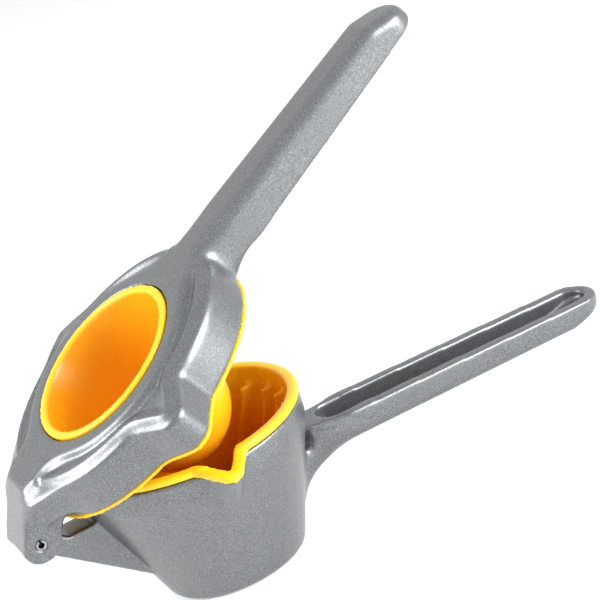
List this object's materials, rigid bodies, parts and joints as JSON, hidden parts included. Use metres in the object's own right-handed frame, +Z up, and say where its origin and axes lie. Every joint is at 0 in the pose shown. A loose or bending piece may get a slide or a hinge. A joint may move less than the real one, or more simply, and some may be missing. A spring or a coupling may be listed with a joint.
{
  "type": "hinged lemon squeezer",
  "caption": "Hand press with two hinged levers: an oval cup with pouring spouts below and a hollow pressing dome above, both with clip-in liners.",
  "frame": {"origin": "middle of the cup's mouth seen from above, on the plane of the flat foot that the squeezer stands on", "axes": "+X from the cup along the lower handle, +Z up out of the foot, +Y along the hinge pin, across the handles"},
  "size_m": [0.2132, 0.0976, 0.149],
  "materials": {
    "casting": "die-cast aluminium with a silver hammered, finely flecked lacquer",
    "pin_steel": "plain rolled spring steel, slotted along one side",
    "liner": "smooth glossy yellow food-grade plastic, slightly translucent"
  },
  "bodies": {
    "lower": {"lower_lever": "casting", "cup_insert": "liner"},
    "upper": {"upper_lever": "casting", "press_insert": "liner", "hinge_pin": "pin_steel"}
  },
  "joints": [
    {"name": "lever_hinge", "type": "hinge", "parent": "lower", "child": "upper", "pos_m": [-0.056, 0, 0.0424], "axis": [0, -1, 0], "range_deg": [-28, 75]}
  ]
}
